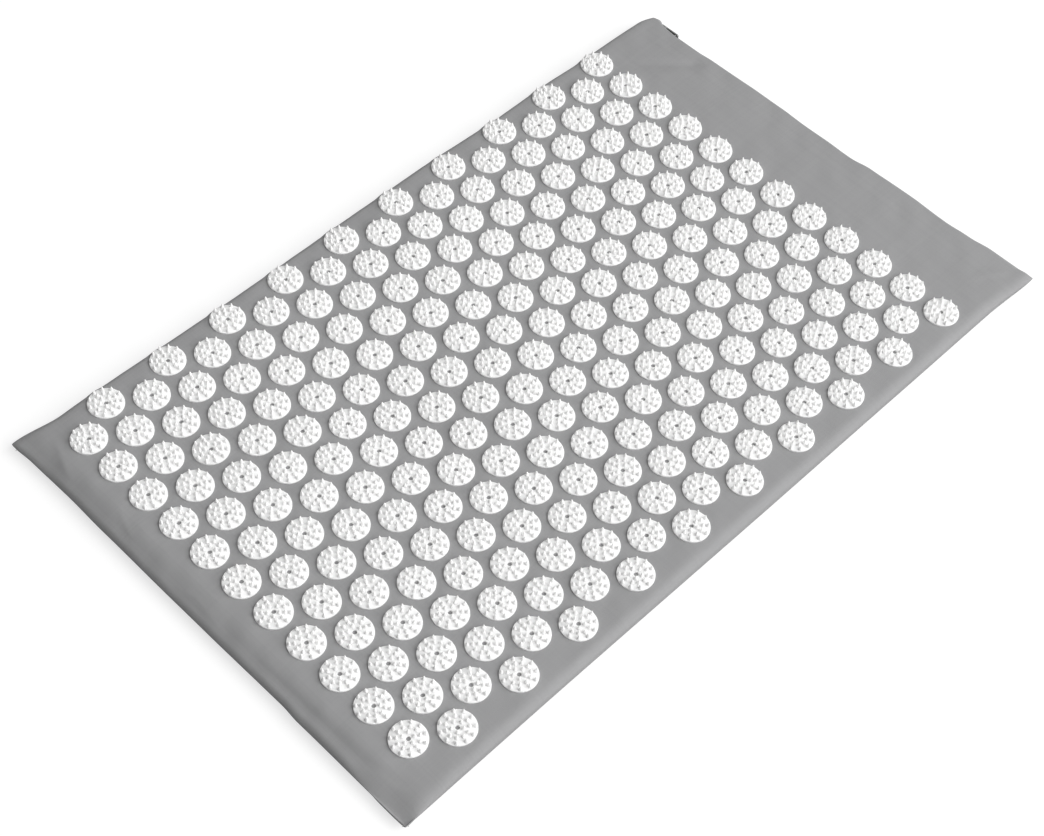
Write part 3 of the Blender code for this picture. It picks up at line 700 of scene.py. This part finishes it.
def seam_route():
    """Points along the crease, one for each stitch, from the zip's near corner round to its far corner."""
    stop_x = HALF_LENGTH - CORNER_TURN
    long_steps = round((stop_x + HALF_LENGTH) / STITCH_PITCH)
    end_steps = round(2 * HALF_WIDTH / STITCH_PITCH)
    x = np.concatenate([
        np.linspace(stop_x, -HALF_LENGTH, long_steps), np.full(end_steps, -HALF_LENGTH),
        np.linspace(-HALF_LENGTH, stop_x, long_steps)])
    y = np.concatenate([
        np.full(long_steps, -HALF_WIDTH), np.linspace(-HALF_WIDTH, HALF_WIDTH, end_steps),
        np.full(long_steps, HALF_WIDTH)])
    out_x = np.concatenate([np.zeros(long_steps), np.full(end_steps, -1.0), np.zeros(long_steps)])
    out_y = np.concatenate([np.full(long_steps, -1.0), np.zeros(end_steps), np.full(long_steps, 1.0)])
    place_x, place_y = laid_out(x, y)
    sewn_x, sewn_y = place_x - out_x * STITCH_DEPTH, place_y - out_y * STITCH_DEPTH
    return np.stack([sewn_x, sewn_y, np.full(len(x), SEAM_HEIGHT)], axis=-1)


def stitches(name, route, radius, length, sides=6):
    """A row of short round stitches, one from each point of the route towards the next."""
    ahead = np.diff(route, axis=0)
    ahead /= np.maximum(np.linalg.norm(ahead, axis=1, keepdims=True), 1e-9)
    start = route[:-1]
    across = np.cross(ahead, (0.0, 0.0, 1.0))
    rings = []
    for along, thickness in STITCH_SHAPE:
        for side in range(sides):
            turn = 2 * math.pi * side / sides
            rings.append(
                start + ahead * (along * length)
                + across * (radius * thickness * math.cos(turn))
                + np.array((0, 0, 1)) * (radius * thickness * math.sin(turn)))
    points = np.stack(rings, axis=1).reshape(-1, 3)
    one = []
    for ring in range(len(STITCH_SHAPE) - 1):
        for side in range(sides):
            after = (side + 1) % sides
            a, b = ring * sides + side, ring * sides + after
            one.append((a, b, b + sides, a + sides))
    size = len(STITCH_SHAPE) * sides
    faces = (np.arange(len(start))[:, None, None] * size + np.array(one)[None]).reshape(-1, 4).tolist()
    caps = [tuple(range(sides))[::-1], tuple(range(size - sides, size))]
    for piece in range(len(start)):
        faces += [tuple(piece * size + corner for corner in cap) for cap in caps]
    mesh = bpy.data.meshes.new(name)
    mesh.from_pydata(points.tolist(), [], faces)
    mesh.shade_smooth()
    return placed(name, mesh)


thread, tree, shader = blank_material("polyester_thread")
place = node(tree, "ShaderNodeTexCoord").outputs["Object"]
plies = node(tree, "ShaderNodeTexWave", {"bands_direction": "DIAGONAL"}, {
    "Vector": place, "Scale": 1600.0, "Distortion": 0.6})
# The thread is darker where the relief of its plies lies low: painted shade in the grooves of its twist.
tree.links.new(tinted(tree, THREAD_GREY, 0.7, 1.15, plies.outputs["Fac"]), shader.inputs["Base Color"])
emboss(tree, shader, plies.outputs["Fac"], 0.5, 0.00005)
shader.inputs["Roughness"].default_value = 0.6

seam_stitches = stitches("seam_stitches", seam_route(), STITCH_RADIUS, STITCH_LENGTH)
seam_stitches.data.materials.append(thread)
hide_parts("seam_thread")
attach(seam_stitches, "mat")


# The spike discs: white plastic mouldings, each a round plate with a centre hole and three rings of blunt
# spikes, glued to the canvas in staggered columns. Each disc was set down turned as it came.
DISC_THICKNESS = 0.0015
DISC_EDGE = 0.0004
DISC_SINK = 0.0001
HOLE_RADIUS = 0.0017
SPIKE_RINGS = ((11, 0.0122, 0.25), (11, 0.0083, 0.25), (5, 0.0044, 0.0))
SPIKE_PROFILE = ((0.0016, -0.0001), (0.0013, 0.0004), (0.00098, 0.0018), (0.00062, 0.0032), (0.00034, 0.0040))
SPIKE_TIP = 0.0042
SPIKE_SIDES = 8
PLATE_STEPS = 44
TURN_SEED = 27
DISC_WHITE = (0.97, 0.97, 0.965, 1)


def turned(profile, steps, tip=None):
    """Points and faces of a profile of (radius, height) pairs turned round the upright axis."""
    turn = np.arange(steps) * 2 * math.pi / steps
    rings = [np.stack([r * np.cos(turn), r * np.sin(turn), np.full(steps, z)], axis=-1) for r, z in profile]
    points = np.concatenate(rings)
    faces = []
    count = len(profile)
    last = count if tip is None else count - 1
    for ring in range(last):
        for step in range(steps):
            after = (step + 1) % steps
            a, b = ring * steps + step, ring * steps + after
            c, d = ((ring + 1) % count) * steps + after, ((ring + 1) % count) * steps + step
            faces.append((a, b, c, d))
    if tip is not None:
        points = np.concatenate([points, [(0, 0, tip)]])
        top = (count - 1) * steps
        faces += [(top + step, top + (step + 1) % steps, len(points) - 1) for step in range(steps)]
        faces.append(tuple(reversed(range(steps))))
    return points, faces


def disc_shape():
    """Points and faces of one disc, its underside at zero height."""
    r, t, e, h = DISC_RADIUS, DISC_THICKNESS, DISC_EDGE, HOLE_RADIUS
    plate = (
        (r - 0.3 * e, 0), (r, 0.4 * e), (r, t - e), (r - 0.3 * e, t - 0.3 * e), (r - e, t),
        (h + 0.5 * e, t), (h, t - 0.5 * e), (h, 0))
    points, faces = turned(plate, PLATE_STEPS)
    all_points, all_faces, total = [points], list(faces), len(points)
    for count, ring_radius, start in SPIKE_RINGS:
        for number in range(count):
            turn = 2 * math.pi * (number + start) / count
            spike, spike_faces = turned(SPIKE_PROFILE, SPIKE_SIDES, SPIKE_TIP)
            spike = spike + (ring_radius * math.cos(turn), ring_radius * math.sin(turn), t)
            all_points.append(spike)
            all_faces += [tuple(total + corner for corner in face) for face in spike_faces]
            total += len(spike)
    return np.concatenate(all_points), all_faces


white_plastic, tree, shader = blank_material("white_plastic")
place = node(tree, "ShaderNodeTexCoord").outputs["Object"]
flow = node(tree, "ShaderNodeTexNoise", (), {"Vector": place, "Scale": 160.0, "Detail": 3.0})
grain = node(tree, "ShaderNodeTexNoise", (), {"Vector": place, "Scale": 2600.0, "Detail": 2.0})
tree.links.new(tinted(tree, DISC_WHITE, 0.985, 1.01, flow.outputs["Fac"]), shader.inputs["Base Color"])
roughen(tree, shader, flow.outputs["Fac"], 0.42, 0.55)
emboss(tree, shader, grain.outputs["Fac"], 0.15, 0.00005)
shader.inputs["Specular IOR Level"].default_value = 0.3
shader.inputs["Subsurface Weight"].default_value = 0.5
shader.inputs["Subsurface Radius"].default_value = (1.0, 1.0, 1.0)
shader.inputs["Subsurface Scale"].default_value = 0.001

shape, shape_faces = disc_shape()
draw = random.Random(TURN_SEED)
for number, (x, rows) in enumerate(disc_columns, start=1):
    column_points, column_faces = [], []
    for y in rows:
        turn = draw.uniform(0, 2 * math.pi)
        centre, slope_x, slope_y = seat_of(x, y)
        up = Vector((-slope_x, -slope_y, 1)).normalized()
        stand = up.to_track_quat("Z", "Y").to_matrix() @ Matrix.Rotation(turn, 3, "Z")
        seated = shape @ np.array(stand).T + (x, y, centre - DISC_SINK)
        first = len(column_points) * len(shape)
        column_points.append(seated)
        column_faces += [tuple(first + corner for corner in face) for face in shape_faces]
    mesh = bpy.data.meshes.new(f"spike_discs_{number:02d}")
    mesh.from_pydata(np.concatenate(column_points).tolist(), [], column_faces)
    mesh.shade_smooth()
    mesh.set_sharp_from_angle(angle=math.radians(40))
    discs = placed(f"spike_discs_{number:02d}", mesh)
    discs.data.materials.append(white_plastic)
    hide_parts(f"rosette_column_{number:02d}")
    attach(discs, "mat")


# The zip's tapes: grey woven polyester ribbon, sewn behind the hems. The upper one leans in above the slider,
# the lower one under it, and their far ends stop short at the corner, behind the top stops.
TAPE_GREY = (0.17, 0.17, 0.175, 1)
TAPE_PITCH = 0.0004
TAPE_THICKNESS = 0.0005
TAPE_LEANS = {
    "upper": ((0, 0.0069), (0, 0.0083), (0, 0.0097), (-0.0022, 0.0106), (-0.0034, 0.0122), (-0.0046, 0.0138)),
    "lower": ((-0.0028, 0.0017), (-0.0012, 0.0021), (-0.0001, 0.0031), (0, 0.0045), (0, 0.0059))}
TAPE_SPANS = 80
TAPE_TUCKS = (0.0012, 0.0040)

tape_weave, tree, shader = blank_material("woven_tape")
place = node(tree, "ShaderNodeTexCoord").outputs["Object"]
sides = node(tree, "ShaderNodeSeparateXYZ", (), {0: place})
tape_place = node(tree, "ShaderNodeCombineXYZ", (), {
    "X": sum_of(tree, "ADD", sides.outputs["X"], sides.outputs["Z"]), "Y": sides.outputs["Y"]}).outputs[0]
weave = node(tree, "ShaderNodeGroup", {"node_tree": plain_weave}, {
    "Place": tape_place, "Pitch": TAPE_PITCH, "Unevenness": 0.1})
# The tape is darker where its weave lies low: painted shade in the gaps between its threads.
tree.links.new(tinted(tree, TAPE_GREY, 0.75, 1.15, weave.outputs["Height"]), shader.inputs["Base Color"])
emboss(tree, shader, weave.outputs["Height"], 0.6, 0.0001)
shader.inputs["Roughness"].default_value = 0.8
for name, lean in TAPE_LEANS.items():
    low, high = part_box(f"zip_tape_{name}")
    run = np.linspace(low.y + TAPE_TUCKS[0], high.y - TAPE_TUCKS[1], TAPE_SPANS + 1)
    points = np.array([[(high.x + inward, y, z) for inward, z in lean] for y in run])
    index = np.arange(points.shape[0] * points.shape[1]).reshape(points.shape[:2])
    tape = grid_mesh(f"zip_tape_ribbon_{name}", points.reshape(-1, 3), grid_faces(index))
    thicken(tape, "ribbon", TAPE_THICKNESS)
    tape.data.materials.append(tape_weave)
    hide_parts(f"zip_tape_{name}")
    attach(tape, "mat")


# The zip's coils: dark nylon monofilament wound flat, one coil on each tape, their heads set half a turn
# apart. A slit between them leaves room for the slider's web along the whole run.
COIL_PITCH = 0.0012
COIL_WIRE = 0.00033
COIL_SLIT_HALF = 0.00032
COIL_POINTS = 12
COIL_SQUARENESS = 0.75
COIL_DARK = (0.075, 0.075, 0.08, 1)

nylon, tree, shader = blank_material("dark_nylon")
place = node(tree, "ShaderNodeTexCoord").outputs["Object"]
drawn = node(tree, "ShaderNodeTexNoise", (), {"Vector": place, "Scale": 700.0, "Detail": 3.0})
tree.links.new(tinted(tree, COIL_DARK, 0.75, 1.3, drawn.outputs["Fac"]), shader.inputs["Base Color"])
roughen(tree, shader, drawn.outputs["Fac"], 0.25, 0.5)


def wire(name, points, radius, material, resolution):
    """A round wire along a list of points."""
    curve = bpy.data.curves.new(name, "CURVE")
    curve.dimensions = "3D"
    curve.bevel_depth = radius
    curve.bevel_resolution = resolution
    curve.use_fill_caps = True
    spline = curve.splines.new("POLY")
    spline.points.add(len(points) - 1)
    spline.points.foreach_set("co", np.concatenate([points, np.ones((len(points), 1))], axis=1).ravel())
    spline.use_smooth = True
    curve.materials.append(material)
    return placed(name, curve)


def squared(wave):
    return np.sign(wave) * np.abs(wave) ** COIL_SQUARENESS


chain_height = (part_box("zip_coil_lower")[0].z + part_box("zip_coil_upper")[1].z) / 2
for name, way in (("upper", 1), ("lower", -1)):
    low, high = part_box(f"zip_coil_{name}")
    outer = abs((high.z if way > 0 else low.z) - chain_height)
    reach = (outer - COIL_SLIT_HALF) / 2
    turns = (high.y - low.y - 2 * COIL_WIRE) / COIL_PITCH
    turn = np.linspace(0, 2 * math.pi * turns, round(turns * COIL_POINTS)) + (math.pi if way < 0 else 0)
    half = (high.x - low.x) / 2 - COIL_WIRE
    run = low.y + COIL_WIRE + np.linspace(0, high.y - low.y - 2 * COIL_WIRE, len(turn))
    points = np.stack([
        (low.x + high.x) / 2 + half * squared(np.cos(turn)), run,
        chain_height + way * (COIL_SLIT_HALF + reach + (reach - COIL_WIRE) * squared(np.sin(turn)))], axis=-1)
    coil = wire(f"zip_coil_turns_{name}", points, COIL_WIRE, nylon, 1)
    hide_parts(f"zip_coil_{name}")
    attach(coil, "mat")


# The threads that sew the coils to their tapes: the seam's grey polyester thread, one on each coil. It
# passes over every turn, so that the coil can't slip along its tape.
TIE_RADIUS = 0.00011
TIE_PROUD = 0.4
TIE_DIP = 0.00008
TIE_SWAY = 0.00012
TIE_SHARE = 0.62
for name, way in (("upper", 1), ("lower", -1)):
    low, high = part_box(f"zip_coil_{name}")
    outer = abs((high.z if way > 0 else low.z) - chain_height)
    steps = round((high.y - low.y) / COIL_PITCH) * 4
    run = np.linspace(low.y + COIL_PITCH, high.y - COIL_PITCH, steps)
    wave = 2 * math.pi * run / COIL_PITCH
    points = np.stack([
        high.x + TIE_RADIUS * TIE_PROUD + TIE_DIP * np.cos(wave), run,
        chain_height + way * (outer * TIE_SHARE + TIE_SWAY * np.sin(wave / 2))], axis=-1)
    tie = wire(f"zip_tie_thread_{name}", points, TIE_RADIUS, thread, 0)
    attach(tie, "mat")


# The zip's slider, pull tab and stops: die-cast and stamped metal with a dark plated finish, rubbed
# bright along its edges. They keep the model's shape, with their edges rounded a little.
METAL_DARK = (0.14, 0.14, 0.145, 1)
METAL_BRIGHT = (0.42, 0.42, 0.41, 1)
METAL_ROUND = 0.00018


def worn_edges_group():
    """Node group that finds edges and breaks them up, from 0 in the plain to 1 on a rubbed edge."""
    group = bpy.data.node_groups.new("worn_edges", "ShaderNodeTree")
    socket(group, "Place", "INPUT", "NodeSocketVector")
    socket(group, "Amount", "INPUT", "NodeSocketFloat")
    socket(group, "Wear", "OUTPUT", "NodeSocketFloat")
    start, end = group.nodes.new("NodeGroupInput"), group.nodes.new("NodeGroupOutput")
    point = node(group, "ShaderNodeNewGeometry").outputs["Pointiness"]
    scratch = node(group, "ShaderNodeTexNoise", (), {
        "Vector": start.outputs["Place"], "Scale": 900.0, "Detail": 4.0})
    edge = node(group, "ShaderNodeMapRange", (), {"Value": point, "From Min": 0.55, "From Max": 0.7})
    broken = sum_of(group, "MULTIPLY", edge.outputs["Result"], scratch.outputs["Fac"])
    wear = node(group, "ShaderNodeMath", {"operation": "MULTIPLY", "use_clamp": True}, {
        0: broken, 1: start.outputs["Amount"]})
    group.links.new(wear.outputs[0], end.inputs["Wear"])
    return group


plated, tree, shader = blank_material("plated_metal")
place = node(tree, "ShaderNodeTexCoord").outputs["Object"]
wear = node(tree, "ShaderNodeGroup", {"node_tree": worn_edges_group()}, {"Place": place, "Amount": 1.4})
smear = node(tree, "ShaderNodeTexNoise", (), {"Vector": place, "Scale": 400.0, "Detail": 3.0})
metal = node(tree, "ShaderNodeMix", {"data_type": "RGBA"}, {
    0: wear.outputs["Wear"], 6: METAL_DARK, 7: METAL_BRIGHT}).outputs[2]
tree.links.new(metal, shader.inputs["Base Color"])
dull = sum_of(tree, "MULTIPLY_ADD", smear.outputs["Fac"], 0.2, 0.28)
tree.links.new(sum_of(tree, "MULTIPLY_ADD", wear.outputs["Wear"], -0.12, dull), shader.inputs["Roughness"])
shader.inputs["Metallic"].default_value = 1.0
for name in ("zip_slider", "zip_pull_tab", "zip_top_stop_upper", "zip_top_stop_lower", "zip_bottom_stop"):
    metal_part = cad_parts[name]
    metal_part.data.materials.clear()
    metal_part.data.materials.append(plated)
    rounding = metal_part.modifiers.new("rounded_edges", "BEVEL")
    rounding.width = METAL_ROUND
    rounding.segments = 2
    rounding.limit_method = "ANGLE"
    rounding.angle_limit = math.radians(40)
    rounding.harden_normals = True
